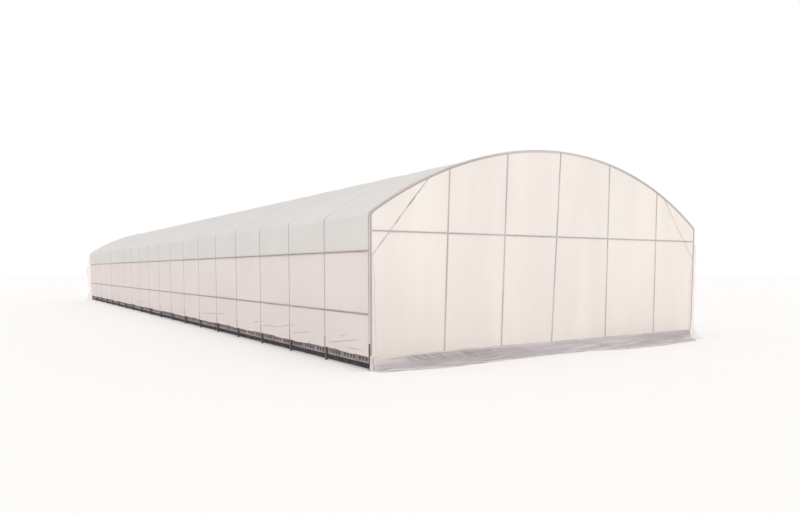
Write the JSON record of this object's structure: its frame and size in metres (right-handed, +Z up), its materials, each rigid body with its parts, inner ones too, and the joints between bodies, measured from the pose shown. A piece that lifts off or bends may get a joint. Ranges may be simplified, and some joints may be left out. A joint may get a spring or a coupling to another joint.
{
  "type": "polytunnel greenhouse",
  "caption": "Long tunnel greenhouse with a round film roof over bent steel hoops, flat film gables and a raised floor of hollow planks",
  "frame": {"origin": "on the ground, in the middle of the tunnel's length and width", "axes": "+X across the tunnel, -Y out of the front gable along the tunnel, +Z up"},
  "size_m": [8.26, 29.42, 3.69],
  "materials": {
    "tube_zinc": "galvanised steel tube, dull grey with a faint spangle",
    "socket_steel": "dark weathered steel with a little rust near the ground",
    "rail_zinc": "galvanised channel with spring wire, weathered dark grey",
    "roof_film": "milky greenhouse film, two layers, greyish white, slightly rippled",
    "side_film": "milky greenhouse film, warm off-white, slightly rippled",
    "gable_film": "milky greenhouse film, warm off-white, lightly creased",
    "skirt_film": "loose folded foot of the film, grey-white, creased",
    "plank_concrete": "precast hollow concrete planks, rough grey",
    "base_masonry": "rough dark blue-grey block wall, damp"
  },
  "bodies": {
    "root": {"back_base_wall": "base_masonry", "back_end_hoop": "tube_zinc", "back_end_rail": "rail_zinc", "back_gable_posts": "tube_zinc", "back_gable_rail": "rail_zinc", "back_ground_skirt": "skirt_film", "back_knee_braces": "tube_zinc", "back_lower_gable_film": "gable_film", "back_upper_gable_film": "gable_film", "front_base_wall": "base_masonry", "front_end_hoop": "tube_zinc", "front_end_rail": "rail_zinc", "front_gable_posts": "tube_zinc", "front_gable_rail": "rail_zinc", "front_ground_skirt": "skirt_film", "front_knee_braces": "tube_zinc", "front_lower_gable_film": "gable_film", "front_upper_gable_film": "gable_film", "inner_hoops_02_03": "tube_zinc", "inner_hoops_04_05": "tube_zinc", "inner_hoops_06_07": "tube_zinc", "inner_hoops_08_09": "tube_zinc", "inner_hoops_10_11": "tube_zinc", "inner_hoops_12_13": "tube_zinc", "inner_hoops_14_15": "tube_zinc", "inner_hoops_16_17": "tube_zinc", "inner_hoops_18_19": "tube_zinc", "left_apron_film": "side_film", "left_base_wall": "base_masonry", "left_floor_planks": "plank_concrete", "left_ground_sockets": "socket_steel", "left_lower_film_rail": "rail_zinc", "left_upper_film_rail": "rail_zinc", "left_vent_film": "side_film", "middle_base_wall": "base_masonry", "ridge_purlin": "tube_zinc", "right_apron_film": "side_film", "right_base_wall": "base_masonry", "right_floor_planks": "plank_concrete", "right_ground_sockets": "socket_steel", "right_lower_film_rail": "rail_zinc", "right_upper_film_rail": "rail_zinc", "right_vent_film": "side_film", "roof_film": "roof_film"}
  },
  "joints": []
}
